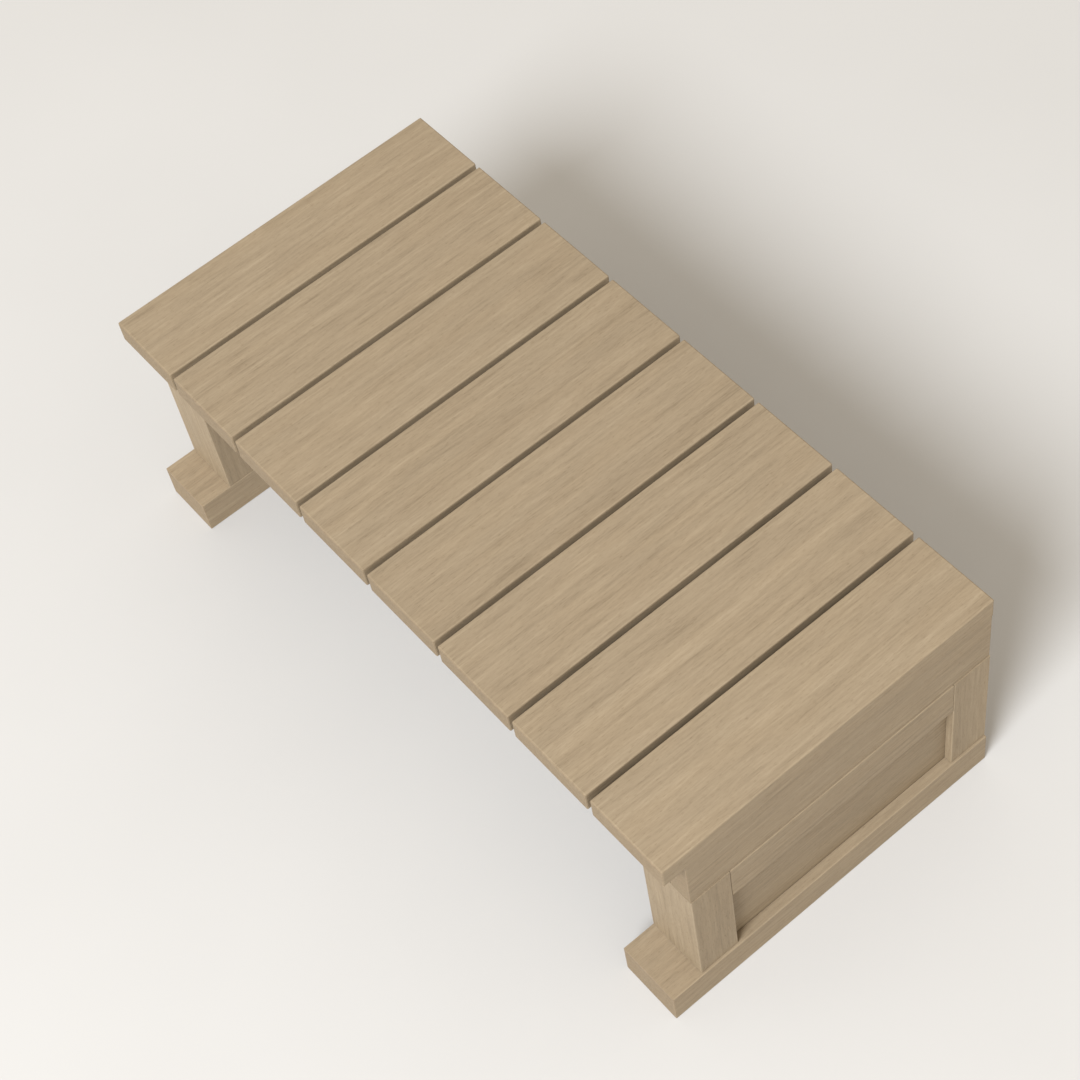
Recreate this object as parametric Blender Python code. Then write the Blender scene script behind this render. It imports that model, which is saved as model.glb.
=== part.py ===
"""One-rise spa step: a slatted tread on two panelled end frames.

Metres, +Z up, +X along the tread, and the front faces -Y. The origin is on the floor,
under the middle of the step. Every piece is a timber board, a screw or a dowel, and
nothing moves.
"""

import math

import bmesh
import bpy

# Driving dimensions: the whole step
LENGTH = 0.700  # outer face to outer face of the foot rails
DEPTH = 0.337  # toe of the foot rails to the rear edge
HEIGHT = 0.240  # floor to tread

# Tread
SLAT_COUNT = 8
SLAT_THICKNESS = 0.022
SLAT_WIDTH = 0.084  # of the inner slats: the two end slats take up what is left
SLAT_GAP = 0.005  # drainage gap between two slats
SLAT_OVERHANG = 0.021  # slat front edge to the front posts' face
TOE_LENGTH = 0.010  # how far the foot rails reach past the slats' front edge

# End frames
FOOT_HEIGHT = 0.036
POST_WIDTH = 0.057  # along X
POST_DEPTH = 0.038  # along Y
UPPER_RAIL_HEIGHT = 0.040
TOP_BOARD_HEIGHT = 0.058
TOP_BOARD_THICKNESS = 0.022  # the posts are rebated for it
FOOT_PROUD = 0.002  # the foot rail stands out this far past the posts
TOP_BOARD_INSET = 0.001  # the top board lies this far behind the posts' outer face
PANEL_THICKNESS = 0.012
PANEL_SETBACK = 0.0075  # posts' outer face to the panel's outer face
PANEL_TONGUE = 0.008  # how deep the panel sits in the grooves around it

# Bearers under the slats, standing on the upper rails
BEARER_WIDTH = 0.028
BEARER_TO_POST = 0.010  # clear distance between a bearer and the nearest post, along Y

# Fasteners: length, shank radius, head radius
SLAT_SCREW = (0.060, 0.0020, 0.0040)
BEARER_SCREW = (0.080, 0.0025, 0.0048)
BOARD_SCREW = (0.048, 0.0022, 0.0044)
FOOT_SCREW = (0.070, 0.0030, 0.0058)
FASTENER_INSET = 0.0165  # posts' inner face to the line of the frame screws
SLAT_SCREW_SINK = 0.009  # slat screw head above the bearer's underside
FOOT_SCREW_SINK = 0.004  # foot screw head above the floor
FLUSH_SCREW_SINK = 0.001  # the other screw heads below the face that they are driven into
ACCESS_DEPTH = SLAT_SCREW_SINK + 0.002  # how far a screw hole reaches above the head
RIM_SHARE = 0.25  # straight rim of a screw head, as a share of its cone's height
RECESS_SHARE = 0.5  # drive recess, as a share of the head's radius and of the cone's height
POINT_LENGTHS = 3.0  # length of a screw's point, in shank radii
DOWEL_LENGTH = 0.028
DOWEL_RADIUS = 0.004
DOWEL_CHAMFER = 0.001
SCREW_SIDES = 12
DOWEL_SIDES = 16

# Turns of a screw, which is modelled pointing down
POINTS_DOWN = (0.0, 0.0, 0.0)
POINTS_UP = (math.pi, 0.0, 0.0)

# Finish
FIT_GAP = 0.0003  # clearance between two pieces that meet
SLAT_ARRIS = 0.0012  # rounding of the slats' edges
FRAME_ARRIS = 0.0006  # rounding of the other boards' edges
ARRIS_SEGMENTS = 2
CUT_THROUGH = 0.002  # how far a cutter reaches past the surface it opens
SMOOTH_ANGLE = math.radians(35)

# Levels and planes that follow from them
SLAT_BOTTOM = HEIGHT - SLAT_THICKNESS
BOARD_TOP = SLAT_BOTTOM - FIT_GAP
BOARD_BOTTOM = SLAT_BOTTOM - TOP_BOARD_HEIGHT
UPPER_RAIL_BOTTOM = BOARD_BOTTOM - UPPER_RAIL_HEIGHT
TOE_Y = -DEPTH / 2
REAR_Y = DEPTH / 2
SLAT_FRONT_Y = TOE_Y + TOE_LENGTH
FRONT_POST_Y = (SLAT_FRONT_Y + SLAT_OVERHANG, SLAT_FRONT_Y + SLAT_OVERHANG + POST_DEPTH)
REAR_POST_Y = (REAR_Y - POST_DEPTH, REAR_Y)
POST_OUTER_X = LENGTH / 2 - FOOT_PROUD
POST_INNER_X = POST_OUTER_X - POST_WIDTH
FASTENER_X = POST_INNER_X + FASTENER_INSET
TOP_BOARD_OUTER_X = POST_OUTER_X - TOP_BOARD_INSET
TOP_BOARD_INNER_X = TOP_BOARD_OUTER_X - TOP_BOARD_THICKNESS
END_SLAT_WIDTH = POST_OUTER_X - (SLAT_COUNT / 2 - 1) * SLAT_WIDTH - (SLAT_COUNT - 1) * SLAT_GAP / 2
FRONT_BEARER_Y = (
    FRONT_POST_Y[1] + BEARER_TO_POST,
    FRONT_POST_Y[1] + BEARER_TO_POST + BEARER_WIDTH,
)
REAR_BEARER_Y = (
    REAR_POST_Y[0] - BEARER_TO_POST - BEARER_WIDTH,
    REAR_POST_Y[0] - BEARER_TO_POST,
)


def middle(span):
    return (span[0] + span[1]) / 2


def clear_scene():
    for item in list(bpy.data.objects):
        bpy.data.objects.remove(item, do_unlink=True)


def make_material(name, colour, roughness, metallic=0.0):
    material = bpy.data.materials.new(name)
    material.use_nodes = True
    shader = material.node_tree.nodes["Principled BSDF"]
    shader.inputs["Base Color"].default_value = (*colour, 1.0)
    shader.inputs["Roughness"].default_value = roughness
    shader.inputs["Metallic"].default_value = metallic
    material.diffuse_color = (*colour, 1.0)
    return material


def add_object(name, mesh, centre, material=None):
    item = bpy.data.objects.new(name, mesh)
    item.location = centre
    if material:
        mesh.materials.append(material)
    bpy.context.scene.collection.objects.link(item)
    return item


def block_mesh(name, size):
    """A closed cuboid of the given size, centred on its own origin."""
    shape = bmesh.new()
    bmesh.ops.create_cube(shape, size=1.0)
    bmesh.ops.scale(shape, vec=size, verts=shape.verts)
    mesh = bpy.data.meshes.new(name)
    shape.to_mesh(mesh)
    shape.free()
    return mesh


def block(name, x_span, y_span, z_span, material=None):
    spans = (x_span, y_span, z_span)
    size = [max(span) - min(span) for span in spans]
    centre = [middle(span) for span in spans]
    return add_object(name, block_mesh(name, size), centre, material)


def board(name, x_span, y_span, z_span, material, arris=FRAME_ARRIS):
    """A planed timber piece: a cuboid with its edges softened."""
    item = block(name, x_span, y_span, z_span, material)
    edges = item.modifiers.new("softened edges", "BEVEL")
    edges.width = arris
    edges.segments = ARRIS_SEGMENTS
    return item


def turned_mesh(name, profile, sides):
    """A solid turned about Z from (radius, height) points that start and end on the axis."""
    shape = bmesh.new()
    first_pole = shape.verts.new((0.0, 0.0, profile[0][1]))
    last_pole = shape.verts.new((0.0, 0.0, profile[-1][1]))
    angles = [2 * math.pi * side / sides for side in range(sides)]
    rings = [
        [shape.verts.new((radius * math.cos(a), radius * math.sin(a), height)) for a in angles]
        for radius, height in profile[1:-1]
    ]
    for side in range(sides):
        after = (side + 1) % sides
        shape.faces.new((first_pole, rings[0][side], rings[0][after]))
        shape.faces.new((last_pole, rings[-1][after], rings[-1][side]))
        for upper, lower in zip(rings, rings[1:]):
            shape.faces.new((upper[side], lower[side], lower[after], upper[after]))
    bmesh.ops.recalc_face_normals(shape, faces=shape.faces)
    mesh = bpy.data.meshes.new(name)
    shape.to_mesh(mesh)
    shape.free()
    mesh.shade_smooth()
    mesh.set_sharp_from_angle(angle=SMOOTH_ANGLE)
    return mesh


def make_cutter(item):
    item.hide_render = True
    item.display_type = "WIRE"
    return item


def cut(items, cutter):
    """Opens each item with the cutter. All of an item's cutters share one Boolean."""
    for item in items:
        openings = item.modifiers.get("openings")
        if openings is None:
            openings = item.modifiers.new("openings", "BOOLEAN")
            openings.operation = "DIFFERENCE"
            openings.solver = "EXACT"
            openings.operand_type = "COLLECTION"
            openings.collection = bpy.data.collections.new(item.name + "_cutters")
        openings.collection.objects.link(cutter)


def screw(name, kind, head, turn, material, through):
    """A countersunk screw with its head's face at the point head, and its hole through the boards."""
    length, shank, head_radius = kind
    cone = head_radius - shank
    rim = cone * RIM_SHARE
    recess = head_radius * RECESS_SHARE
    profile = [
        (0.0, -cone),
        (recess, -cone * RECESS_SHARE),
        (recess, 0.0),
        (head_radius, 0.0),
        (head_radius, -rim),
        (shank, -rim - cone),
        (shank, POINT_LENGTHS * shank - length),
        (0.0, -length),
    ]
    hole = [
        (0.0, ACCESS_DEPTH),
        (head_radius + FIT_GAP, ACCESS_DEPTH),
        (head_radius + FIT_GAP, -rim - FIT_GAP),
        (shank + FIT_GAP, -rim - cone - FIT_GAP),
        (shank + FIT_GAP, -length),
        (0.0, -length - FIT_GAP),
    ]
    item = add_object(name, turned_mesh(name, profile, SCREW_SIDES), head, material)
    hole_name = name + "_hole"
    cutter = make_cutter(add_object(hole_name, turned_mesh(hole_name, hole, SCREW_SIDES), head))
    item.rotation_euler = turn
    cutter.rotation_euler = turn
    cut(through, cutter)


def dowel(name, centre, material, through):
    """A chamfered wooden peg along Y, and its hole in the two pieces that it joins."""
    half = DOWEL_LENGTH / 2
    profile = [
        (0.0, half),
        (DOWEL_RADIUS - DOWEL_CHAMFER, half),
        (DOWEL_RADIUS, half - DOWEL_CHAMFER),
        (DOWEL_RADIUS, DOWEL_CHAMFER - half),
        (DOWEL_RADIUS - DOWEL_CHAMFER, -half),
        (0.0, -half),
    ]
    hole = [
        (0.0, half + FIT_GAP),
        (DOWEL_RADIUS + FIT_GAP, half + FIT_GAP),
        (DOWEL_RADIUS + FIT_GAP, -half - FIT_GAP),
        (0.0, -half - FIT_GAP),
    ]
    item = add_object(name, turned_mesh(name, profile, DOWEL_SIDES), centre, material)
    hole_name = name + "_hole"
    cutter = make_cutter(add_object(hole_name, turned_mesh(hole_name, hole, DOWEL_SIDES), centre))
    item.rotation_euler.x = math.pi / 2
    cutter.rotation_euler.x = math.pi / 2
    cut(through, cutter)


def mirrored(side, x_from, x_to):
    """The span between two distances from the middle, on the right (side 1) or the left (side -1)."""
    return tuple(sorted((side * x_from, side * x_to)))


def build_end_frame(label, side, wood, panel_wood, peg_wood, steel):
    """Foot rail, two posts, upper rail, top board and set-back panel. It returns the upper rail."""
    post_x = mirrored(side, POST_INNER_X, POST_OUTER_X)
    post_z = (FOOT_HEIGHT + FIT_GAP, BOARD_TOP)
    foot = board(
        label + "_foot_rail",
        mirrored(side, POST_INNER_X, LENGTH / 2),
        (TOE_Y, REAR_Y),
        (0.0, FOOT_HEIGHT),
        wood,
    )
    front_post = board(label + "_front_post", post_x, FRONT_POST_Y, post_z, wood)
    rear_post = board(label + "_rear_post", post_x, REAR_POST_Y, post_z, wood)
    upper_rail = board(
        label + "_upper_rail",
        post_x,
        (FRONT_POST_Y[1] + FIT_GAP, REAR_POST_Y[0] - FIT_GAP),
        (UPPER_RAIL_BOTTOM, BOARD_BOTTOM - FIT_GAP),
        wood,
    )
    build_end_panel(label, side, (foot, front_post, rear_post, upper_rail), panel_wood)
    top_board = build_top_board(label, side, (front_post, rear_post), wood)
    outward = (0.0, -side * math.pi / 2, 0.0)
    for place, post, post_y, rail_y in (
        ("front", front_post, FRONT_POST_Y, FRONT_POST_Y[1]),
        ("rear", rear_post, REAR_POST_Y, REAR_POST_Y[0]),
    ):
        corner = f"{label}_{place}"
        inner = (
            side * (POST_INNER_X + FLUSH_SCREW_SINK),
            middle(post_y),
            middle((BOARD_BOTTOM, BOARD_TOP)),
        )
        screw(corner + "_board_screw", BOARD_SCREW, inner, outward, steel, (post, top_board))
        bottom = (side * FASTENER_X, middle(post_y), FOOT_SCREW_SINK)
        screw(corner + "_foot_screw", FOOT_SCREW, bottom, POINTS_UP, steel, (foot, post))
        joint = (side * FASTENER_X, rail_y, middle((UPPER_RAIL_BOTTOM, BOARD_BOTTOM)))
        dowel(corner + "_rail_dowel", joint, peg_wood, (post, upper_rail))
    return upper_rail


def build_top_board(label, side, posts, wood):
    """The board along the frame's upper outer side, let into rebates in the two posts."""
    top_board = board(
        label + "_top_board",
        mirrored(side, TOP_BOARD_INNER_X, TOP_BOARD_OUTER_X),
        (FRONT_POST_Y[0], REAR_Y),
        (BOARD_BOTTOM, BOARD_TOP),
        wood,
    )
    rebate = block(
        label + "_post_rebate",
        mirrored(side, TOP_BOARD_INNER_X - FIT_GAP, POST_OUTER_X + CUT_THROUGH),
        (FRONT_POST_Y[0] - CUT_THROUGH, REAR_Y + CUT_THROUGH),
        (BOARD_BOTTOM - FIT_GAP, BOARD_TOP + CUT_THROUGH),
    )
    cut(posts, make_cutter(rebate))
    return top_board


def build_end_panel(label, side, surround, panel_wood):
    outer_x = POST_OUTER_X - PANEL_SETBACK
    spans = (
        mirrored(side, outer_x - PANEL_THICKNESS, outer_x),
        (FRONT_POST_Y[1] - PANEL_TONGUE, REAR_POST_Y[0] + PANEL_TONGUE),
        (FOOT_HEIGHT - PANEL_TONGUE, UPPER_RAIL_BOTTOM + PANEL_TONGUE),
    )
    block(label + "_end_panel", *spans, panel_wood)
    grown = [(span[0] - FIT_GAP, span[1] + FIT_GAP) for span in spans]
    cut(surround, make_cutter(block(label + "_panel_groove", *grown)))


def build_bearer(place, y_span, upper_rails, wood, steel):
    """A rail under the slats that stands on the two upper rails and is screwed down to them."""
    reach = TOP_BOARD_INNER_X - FIT_GAP
    bearer = board(f"{place}_bearer", (-reach, reach), y_span, (BOARD_BOTTOM, BOARD_TOP), wood)
    for label, side, upper_rail in upper_rails:
        head = (side * FASTENER_X, middle(y_span), BOARD_TOP - FLUSH_SCREW_SINK)
        name = f"{label}_{place}_bearer_screw"
        screw(name, BEARER_SCREW, head, POINTS_DOWN, steel, (bearer, upper_rail))
    return bearer


def slat_spans():
    """Where the slats lie along X, from the left. The first and the last are the narrow ones."""
    spans = []
    left = -POST_OUTER_X
    for index in range(SLAT_COUNT):
        width = END_SLAT_WIDTH if index in (0, SLAT_COUNT - 1) else SLAT_WIDTH
        spans.append((left, left + width))
        left += width + SLAT_GAP
    return spans


def slat_screw_x(span):
    """Slats are screwed on their middle line, but the end ones just inside the frames."""
    nearest, furthest = sorted(abs(x) for x in span)
    if furthest < POST_INNER_X:
        return middle(span)
    return math.copysign(middle((nearest, POST_INNER_X)), middle(span))


def build_slats(bearers, wood, steel):
    for index, x_span in enumerate(slat_spans()):
        name = f"slat_{index + 1}"
        y_span, z_span = (SLAT_FRONT_Y, REAR_Y), (SLAT_BOTTOM, HEIGHT)
        slat = board(name, x_span, y_span, z_span, wood, SLAT_ARRIS)
        for place, bearer_y, bearer in bearers:
            head = (slat_screw_x(x_span), middle(bearer_y), BOARD_BOTTOM + SLAT_SCREW_SINK)
            screw(f"{name}_{place}_screw", SLAT_SCREW, head, POINTS_UP, steel, (bearer, slat))


def main():
    clear_scene()
    tread_wood = make_material("tread_wood", (0.37, 0.28, 0.19), 0.62)
    frame_wood = make_material("frame_wood", (0.36, 0.27, 0.18), 0.62)
    panel_wood = make_material("panel_wood", (0.34, 0.26, 0.17), 0.66)
    peg_wood = make_material("peg_wood", (0.60, 0.45, 0.28), 0.70)
    steel = make_material("stainless_steel", (0.56, 0.56, 0.55), 0.32, 1.0)
    upper_rails = []
    for label, side in (("left", -1), ("right", 1)):
        upper_rail = build_end_frame(label, side, frame_wood, panel_wood, peg_wood, steel)
        upper_rails.append((label, side, upper_rail))
    bearers = []
    for place, y_span in (("front", FRONT_BEARER_Y), ("rear", REAR_BEARER_Y)):
        bearer = build_bearer(place, y_span, upper_rails, frame_wood, steel)
        bearers.append((place, y_span, bearer))
    build_slats(bearers, tread_wood, steel)


main()
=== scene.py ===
"""Looks for the spa step: stained oak boards, screws and dowels, on a pale floor in soft light."""

import math
import random

import bpy
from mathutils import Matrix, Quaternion, Vector


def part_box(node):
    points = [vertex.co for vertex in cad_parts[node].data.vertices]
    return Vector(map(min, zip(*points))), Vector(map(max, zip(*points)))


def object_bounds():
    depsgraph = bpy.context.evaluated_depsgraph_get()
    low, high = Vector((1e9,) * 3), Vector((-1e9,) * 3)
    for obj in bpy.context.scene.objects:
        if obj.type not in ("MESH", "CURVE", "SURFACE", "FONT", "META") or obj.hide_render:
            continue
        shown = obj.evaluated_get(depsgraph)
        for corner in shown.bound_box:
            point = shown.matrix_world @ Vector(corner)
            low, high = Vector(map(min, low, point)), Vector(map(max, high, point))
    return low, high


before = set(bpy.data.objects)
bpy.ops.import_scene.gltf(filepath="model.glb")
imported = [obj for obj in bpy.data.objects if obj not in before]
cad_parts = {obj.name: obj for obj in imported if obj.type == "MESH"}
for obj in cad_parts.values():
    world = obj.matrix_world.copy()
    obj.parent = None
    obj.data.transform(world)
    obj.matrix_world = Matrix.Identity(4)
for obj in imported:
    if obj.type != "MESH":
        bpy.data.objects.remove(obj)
CAD_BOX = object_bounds()

# Camera: where it stands round the step, and how it is turned and framed
AZIMUTH, ELEVATION = math.radians(60.28), math.radians(55.50)
DISTANCE = 1.992
ROLL = math.radians(-11.91)
LENS_MM = 80.0

# Light: an even warm sky, and one large soft lamp high in front of the step
SKY_COLOUR, SKY_STRENGTH = (1.07, 0.99, 0.87), 0.680
KEY_COLOUR, KEY_POWER = (0.95, 1.0, 1.07), 575.0
KEY_PLACE, KEY_SIZE = (1.96, -4.67, 4.83), 3.0

# Floor
FLOOR_SIZE = 40.0
FLOOR_LEVEL = -0.0002  # just below the feet, so that the two don't share a plane
FLOOR_COLOURS = (0.580, 0.566, 0.545), (0.596, 0.582, 0.561)
FLOOR_CLOUDS, FLOOR_GRAIN = (3.0, 3.0, 3.0), (400.0, 400.0, 400.0)  # features in a metre
FLOOR_ROUGHNESS, FLOOR_GLOSS = 0.9, 0.1
FLOOR_BUMP = 0.05, 0.0002  # strength, and height in metres

# Grain: which row axis runs along the fibres, by the last words of a node's name
ALONG_X = ("_bearer",)
ALONG_Z = ("_post",)

# Oak under a light stain, and plain beech: albedo from the darkest streaks to the palest
OAK_TONES = (
    (0.226, 0.170, 0.108),
    (0.286, 0.219, 0.142),
    (0.313, 0.241, 0.157),
    (0.363, 0.284, 0.190),
)
BEECH_TONES = (0.50, 0.36, 0.23), (0.58, 0.43, 0.28), (0.62, 0.47, 0.31), (0.68, 0.52, 0.35)
TONE_STOPS = 0.34, 0.46, 0.54, 0.66
OAK_ROUGHNESS, BEECH_ROUGHNESS, WOOD_GLOSS = 0.62, 0.70, 0.22

# Boards a little lighter or darker than the rest: most took the stain so, while the recessed end
# panels are darker partly in their own tone and partly as painted shade of their recess
BOARD_LIGHTNESS = {
    "slat_1": 1.02,
    "slat_2": 1.02,
    "slat_6": 1.02,
    "slat_7": 1.02,
    "slat_8": 1.03,
    "left_foot_rail": 1.13,
    "left_front_post": 1.04,
    # painted shade: both end panels are darkened as if in the shade of their recess, on top of
    # their own slightly darker tone
    "left_end_panel": 0.95,
    "right_end_panel": 0.95,
    "right_foot_rail": 1.04,
    "right_front_post": 0.98,
    "right_rear_post": 1.02,
}
TONE_SPREAD = 0.012  # how far chance alone moves a board's tone

# Layers of the grain: length and width of their features, and the spacing of the growth rings
BROAD_FIGURE = 0.22, 0.024
RING_SPACING = 0.0034
SOFT_STREAKS = 0.055, 0.0034
SHORT_STREAKS = 0.026, 0.0017
FINE_STREAKS = 0.012, 0.0008
FIBRES = 0.007, 0.0004
PORES = 0.005, 0.0004
STAIN_DRIFT = 0.12, 0.020

# What each layer adds to the tone, the roughness and the height of the surface
TONE_SHARES = {
    "broad": 0.09,
    "rings": 0.16,
    "soft": 0.26,
    "short": 0.26,
    "fine": 0.14,
    "fibre": 0.09,
}
FINE_ROUGHNESS, PORE_ROUGHNESS, WEAR_ROUGHNESS = 0.16, 0.12, -0.10
HEIGHT_SHARES = {"soft": 0.35, "short": 0.40, "fine": 0.50, "fibre": 0.30, "pores": -0.40}
GRAIN_BUMP = 0.35, 0.0004  # strength, and height in metres

# Pores: how much of the noise they take up, and their stain
PORE_EDGES = 0.64, 0.76
PORE_STAIN, PORE_STAIN_SHARE = (0.62, 0.57, 0.50, 1.0), 0.40

# The stain's drift between warm and cool
DRIFT_EDGES = 0.35, 0.65
WARM_STAIN, COOL_STAIN = (1.004, 1.0, 0.993, 1.0), (0.996, 1.0, 1.005, 1.0)

# Slow wander of the lines: features in a metre along and across the board, and its reach
WANDER_ALONG, WANDER_ACROSS, WANDER_REACH = 3.5, 9.0, 0.006

# Pith: least and most distance from the board's middle, to either side and through its thickness
PITH_ASIDE = 0.02, 0.07
PITH_THROUGH = 0.10, 0.20

# How far chance moves each board, and each layer of it, through the noise
BOARD_SHIFT, LAYER_SHIFT = 40, 30

# Worn arrises: least width and what the ragged noise adds to it, lightness and cover
WEAR_WIDTH, WEAR_RAGGED = 0.0004, 0.0030
WEAR_NOISE = 160.0, 160.0, 160.0
WEAR_LIGHTNESS, WEAR_SHARE = 1.10, 0.25

# End grain: where it fades, as distances from the board's end, and its stain
END_GRAIN_EDGES = 0.0004, 0.0012
END_GRAIN_STAIN, END_GRAIN_SHARE = (0.80, 0.775, 0.74, 1.0), 0.90

# Satin steel: from clean metal to the pale bloom on it, and features in a metre
STEEL_TONES = (0.47, 0.465, 0.45), (0.62, 0.615, 0.60)
STEEL_ROUGHNESS = 0.26, 0.44
STEEL_EDGES = 0.3, 0.7
TURNING_MARKS = 900.0, 900.0, 9000.0
STEEL_BLOOM = 220.0, 220.0, 220.0
MARKS_BUMP = 0.2, 0.0001  # strength, and height in metres


class Graph:
    """Short calls that build one material's node tree."""

    def __init__(self, name):
        self.material = bpy.data.materials.new(name)
        self.material.use_nodes = True
        self.tree = self.material.node_tree
        self.shader = self.tree.nodes["Principled BSDF"]
        self.place = self.node("TexCoord", {}, output="Object")

    def put(self, socket, value):
        if isinstance(value, bpy.types.NodeSocket):
            self.tree.links.new(value, socket)
        else:
            socket.default_value = value

    def node(self, kind, inputs, output=0, **settings):
        made = self.tree.nodes.new("ShaderNode" + kind)
        for key, value in settings.items():
            setattr(made, key, value)
        for key, value in inputs.items():
            self.put(made.inputs[key], value)
        return made.outputs[output]

    def math(self, operation, *values):
        return self.node("Math", dict(enumerate(values)), operation=operation)

    def sum(self, *weighted):
        """The sum of (weight, value) pairs."""
        total = self.math("MULTIPLY", weighted[0][1], weighted[0][0])
        for weight, value in weighted[1:]:
            total = self.math("MULTIPLY_ADD", value, weight, total)
        return total

    def join(self, x, y, z):
        return self.node("CombineXYZ", {0: x, 1: y, 2: z})

    def split(self, vector):
        return self.node("SeparateXYZ", {0: vector}).node.outputs

    def scaled(self, vector, factors):
        return self.node("VectorMath", {0: vector, 1: factors}, operation="MULTIPLY")

    def noise(self, vector, detail=2.0, roughness=0.5):
        inputs = {"Vector": vector, "Scale": 1.0, "Detail": detail, "Roughness": roughness}
        return self.node("TexNoise", inputs)

    def spread(self, value, low, high, to_low=0.0, to_high=1.0):
        """The value from low..high, smoothly, to to_low..to_high."""
        inputs = {"Value": value, 1: low, 2: high, 3: to_low, 4: to_high}
        return self.node("MapRange", inputs, interpolation_type="SMOOTHSTEP")

    def blend(self, factor, a, b, kind="MIX"):
        """The colour a with b over it by factor."""
        inputs = {0: factor, 6: a, 7: b}
        return self.node("Mix", inputs, output=2, data_type="RGBA", blend_type=kind)

    def ramp(self, value, places, colours):
        """The colours at their places along the value, with even changes between them."""
        made = self.tree.nodes.new("ShaderNodeValToRGB")
        elements = made.color_ramp.elements
        while len(elements) < len(places):
            elements.new(0.5)
        for element, place, colour in zip(elements, places, colours):
            element.position = place
            element.color = (*colour, 1.0)
        self.put(made.inputs[0], value)
        return made.outputs[0]

    def finish(self, colour, roughness, bump_height, strength, distance):
        self.put(self.shader.inputs["Base Color"], colour)
        self.put(self.shader.inputs["Roughness"], roughness)
        bump = {"Strength": strength, "Distance": distance, "Height": bump_height}
        self.put(self.shader.inputs["Normal"], self.node("Bump", bump))
        return self.material


def grain_order(node):
    """Indices of the row axes as (along the fibres, across, across)."""
    if node.endswith(ALONG_X):
        return 0, 1, 2
    if node.endswith(ALONG_Z):
        return 2, 1, 0
    return 1, 0, 2


class Board(Graph):
    """One board's own coordinates, along the fibres and twice across, from its middle."""

    def __init__(self, node):
        super().__init__("wood_" + node)
        self.random = random.Random("spa step " + node)
        self.shift = self.random.uniform(-BOARD_SHIFT, BOARD_SHIFT)
        low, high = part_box(node)
        order = grain_order(node)
        axes = self.split(self.place)
        middle = (low + high) / 2
        self.half = [(high[i] - low[i]) / 2 for i in order]
        self.own = [self.math("SUBTRACT", axes[i], middle[i]) for i in order]

        # A slow wander, so that no line is quite straight
        along, wide, thick = self.own
        slow = self.noise(
            self.join(
                self.math("MULTIPLY_ADD", along, WANDER_ALONG, self.shift),
                self.math("MULTIPLY", wide, WANDER_ACROSS),
                self.math("MULTIPLY", thick, WANDER_ACROSS),
            ),
            detail=1.0,
        )
        self.wander = self.math("MULTIPLY", self.math("SUBTRACT", slow, 0.5), WANDER_REACH)

    def streaks(self, length, width, detail=2.0):
        """Noise with features about length long and width wide, in metres."""
        along, wide, thick = self.own
        offset = self.random.uniform(-LAYER_SHIFT, LAYER_SHIFT)
        return self.noise(
            self.join(
                self.math("MULTIPLY_ADD", along, 1 / length, self.shift + offset),
                self.math("MULTIPLY_ADD", self.math("ADD", wide, self.wander), 1 / width, offset),
                self.math("MULTIPLY_ADD", thick, 1 / width, offset),
            ),
            detail,
        )

    def growth_rings(self, spacing):
        """Noise on the distance from a pith that lies outside the board."""
        pith = (
            self.random.uniform(*PITH_ASIDE) * self.random.choice((-1, 1)),
            -self.random.uniform(*PITH_THROUGH),
        )
        wide, thick = [
            self.math("ADD", self.math("SUBTRACT", part, centre), self.wander)
            for part, centre in zip(self.own[1:], pith)
        ]
        square = self.math("MULTIPLY_ADD", wide, wide, self.math("MULTIPLY", thick, thick))
        rings = self.math("MULTIPLY_ADD", self.math("SQRT", square), 1 / spacing, self.shift)
        inputs = {"W": rings, "Scale": 1.0, "Detail": 2.0, "Roughness": 0.55}
        return self.node("TexNoise", inputs, noise_dimensions="1D")

    def reach(self):
        """Distances to the board's faces, along its three axes."""
        return [
            self.math("SUBTRACT", half, self.math("ABSOLUTE", part))
            for half, part in zip(self.half, self.own)
        ]

    def arris_wear(self):
        """1 at an arris, falling off raggedly, by the middle one of the three reaches."""
        a, b, c = self.reach()
        lower, upper = self.math("MINIMUM", a, b), self.math("MAXIMUM", a, b)
        near = self.math("MAXIMUM", lower, self.math("MINIMUM", upper, c))
        ragged = self.noise(self.scaled(self.place, WEAR_NOISE), 3.0, 0.6)
        width = self.math("MULTIPLY_ADD", ragged, WEAR_RAGGED, WEAR_WIDTH)
        return self.spread(near, 0.0, width, 1.0, 0.0)

    def end_grain(self):
        return self.spread(self.reach()[0], *END_GRAIN_EDGES, 1.0, 0.0)


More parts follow.
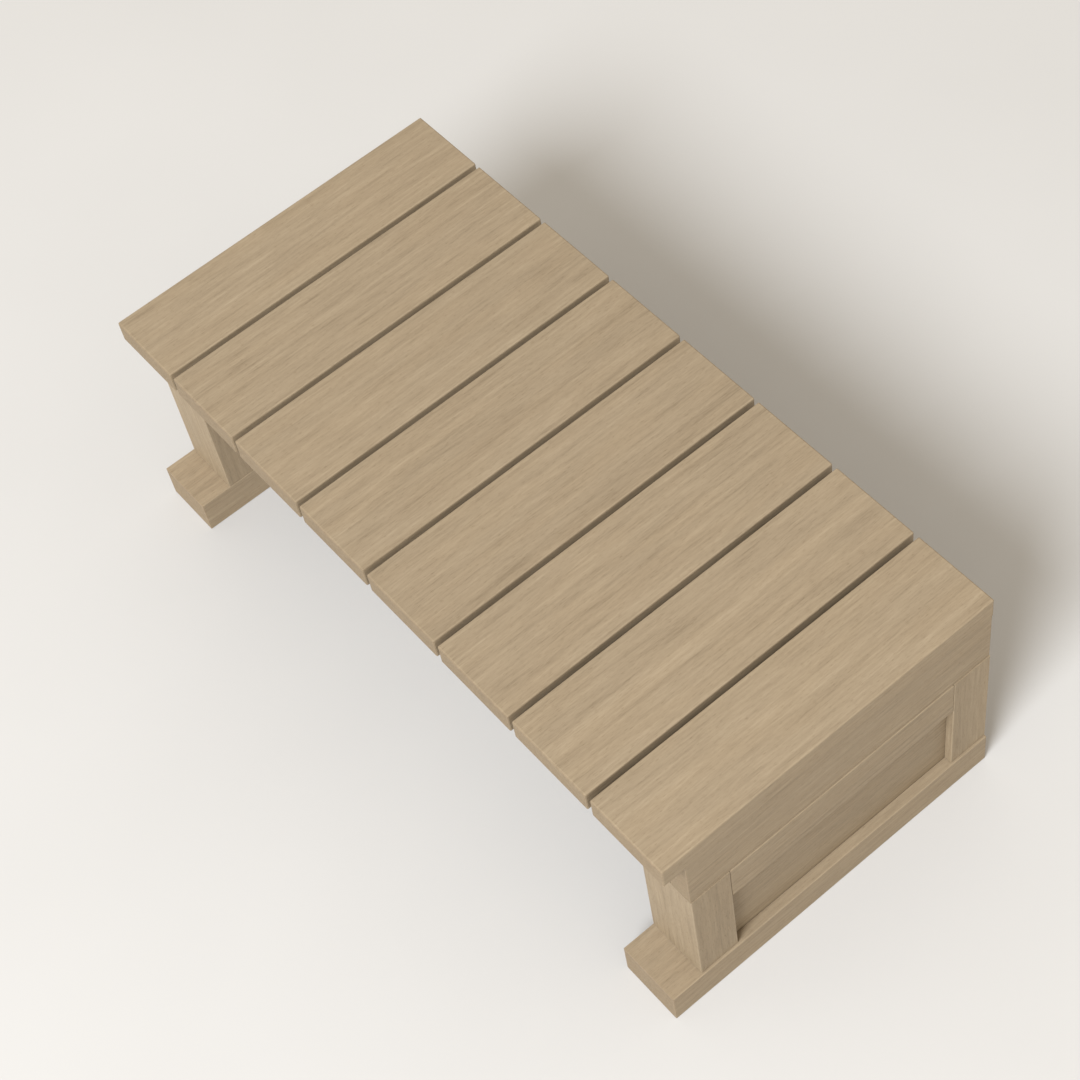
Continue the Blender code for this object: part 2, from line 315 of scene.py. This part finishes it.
def wood(node, tones, roughness):
    """A straight-grained board: short soft streaks, fibres and pores, and paler worn arrises."""
    g = Board(node)
    layers = {
        "broad": g.streaks(*BROAD_FIGURE),
        "rings": g.growth_rings(RING_SPACING),
        "soft": g.streaks(*SOFT_STREAKS),
        "short": g.streaks(*SHORT_STREAKS),
        "fine": g.streaks(*FINE_STREAKS),
        "fibre": g.streaks(*FIBRES, detail=1.0),
        "pores": g.spread(g.streaks(*PORES, detail=0.0), *PORE_EDGES),
    }
    tone = g.sum(*[(share, layers[name]) for name, share in TONE_SHARES.items()])
    tone = g.math("ADD", tone, g.random.uniform(-TONE_SPREAD, TONE_SPREAD))
    colour = g.ramp(tone, TONE_STOPS, tones)

    drift = g.spread(g.streaks(*STAIN_DRIFT, detail=1.0), *DRIFT_EDGES)
    colour = g.blend(1.0, colour, g.blend(drift, WARM_STAIN, COOL_STAIN), "MULTIPLY")

    wear = g.arris_wear()
    pale = (*[min(1.0, WEAR_LIGHTNESS * part) for part in tones[-1]], 1.0)
    pore_share = g.math("MULTIPLY", layers["pores"], PORE_STAIN_SHARE)
    colour = g.blend(pore_share, colour, PORE_STAIN, "MULTIPLY")
    colour = g.blend(g.math("MULTIPLY", wear, WEAR_SHARE), colour, pale)
    end_share = g.math("MULTIPLY", g.end_grain(), END_GRAIN_SHARE)
    colour = g.blend(end_share, colour, END_GRAIN_STAIN, "MULTIPLY")

    g.put(g.shader.inputs["Specular IOR Level"], WOOD_GLOSS)
    rough = g.sum(
        (FINE_ROUGHNESS, layers["fine"]),
        (PORE_ROUGHNESS, layers["pores"]),
        (WEAR_ROUGHNESS, wear),
    )
    rough = g.math("ADD", rough, roughness - FINE_ROUGHNESS / 2)
    height = g.sum(*[(share, layers[name]) for name, share in HEIGHT_SHARES.items()])
    return g.finish(colour, rough, height, *GRAIN_BUMP)


def steel():
    """Satin stainless steel with turning marks and a faint bloom."""
    g = Graph("satin_steel")
    marks = g.noise(g.scaled(g.place, TURNING_MARKS))
    bloom = g.noise(g.scaled(g.place, STEEL_BLOOM), 4.0, 0.6)
    colour = g.ramp(bloom, STEEL_EDGES, STEEL_TONES)
    rough = g.spread(bloom, *STEEL_EDGES, *STEEL_ROUGHNESS)
    g.put(g.shader.inputs["Metallic"], 1.0)
    return g.finish(colour, rough, marks, *MARKS_BUMP)


def paint_all():
    satin = steel()
    for name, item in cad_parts.items():
        if name.endswith("_screw"):
            look = satin
        elif name.endswith("_dowel"):
            look = wood(name, BEECH_TONES, BEECH_ROUGHNESS)
        else:
            lightness = BOARD_LIGHTNESS.get(name, 1.0)
            tones = [tuple(lightness * part for part in tone) for tone in OAK_TONES]
            look = wood(name, tones, OAK_ROUGHNESS)
        for slot in item.material_slots:
            slot.material = look


def floor():
    bpy.ops.mesh.primitive_plane_add(size=FLOOR_SIZE, location=(0, 0, FLOOR_LEVEL))
    ground = bpy.context.object
    ground.name = "studio_floor"
    g = Graph("pale_floor")
    clouds = g.noise(g.scaled(g.place, FLOOR_CLOUDS), 3.0)
    grain = g.noise(g.scaled(g.place, FLOOR_GRAIN))
    g.put(g.shader.inputs["Specular IOR Level"], FLOOR_GLOSS)
    colour = g.ramp(clouds, (0.3, 0.7), FLOOR_COLOURS)
    ground.data.materials.append(g.finish(colour, FLOOR_ROUGHNESS, grain, *FLOOR_BUMP))


def lights():
    world = bpy.data.worlds.new("studio")
    bpy.context.scene.world = world
    world.use_nodes = True
    sky = world.node_tree.nodes["Background"]
    sky.inputs["Color"].default_value = (*SKY_COLOUR, 1.0)
    sky.inputs["Strength"].default_value = SKY_STRENGTH
    lamp = bpy.data.lights.new("key", "AREA")
    lamp.shape = "DISK"
    lamp.size = KEY_SIZE
    lamp.energy = KEY_POWER
    lamp.color = KEY_COLOUR
    key = bpy.data.objects.new("key", lamp)
    key.location = KEY_PLACE
    key.rotation_mode = "QUATERNION"
    key.rotation_quaternion = (-Vector(KEY_PLACE)).to_track_quat("-Z", "Y")
    bpy.context.scene.collection.objects.link(key)


def camera():
    lens = bpy.data.cameras.new("camera")
    lens.lens = LENS_MM
    view = bpy.data.objects.new("camera", lens)
    low, high = CAD_BOX
    level = math.cos(ELEVATION)
    back = Vector((math.sin(AZIMUTH) * level, -math.cos(AZIMUTH) * level, math.sin(ELEVATION)))
    view.location = (low + high) / 2 + back * DISTANCE
    view.rotation_mode = "QUATERNION"
    view.rotation_quaternion = (-back).to_track_quat("-Z", "Y") @ Quaternion((0, 0, 1), ROLL)
    bpy.context.scene.collection.objects.link(view)
    bpy.context.scene.camera = view


bpy.context.scene.view_settings.view_transform = "Standard"
paint_all()
floor()
lights()
camera()
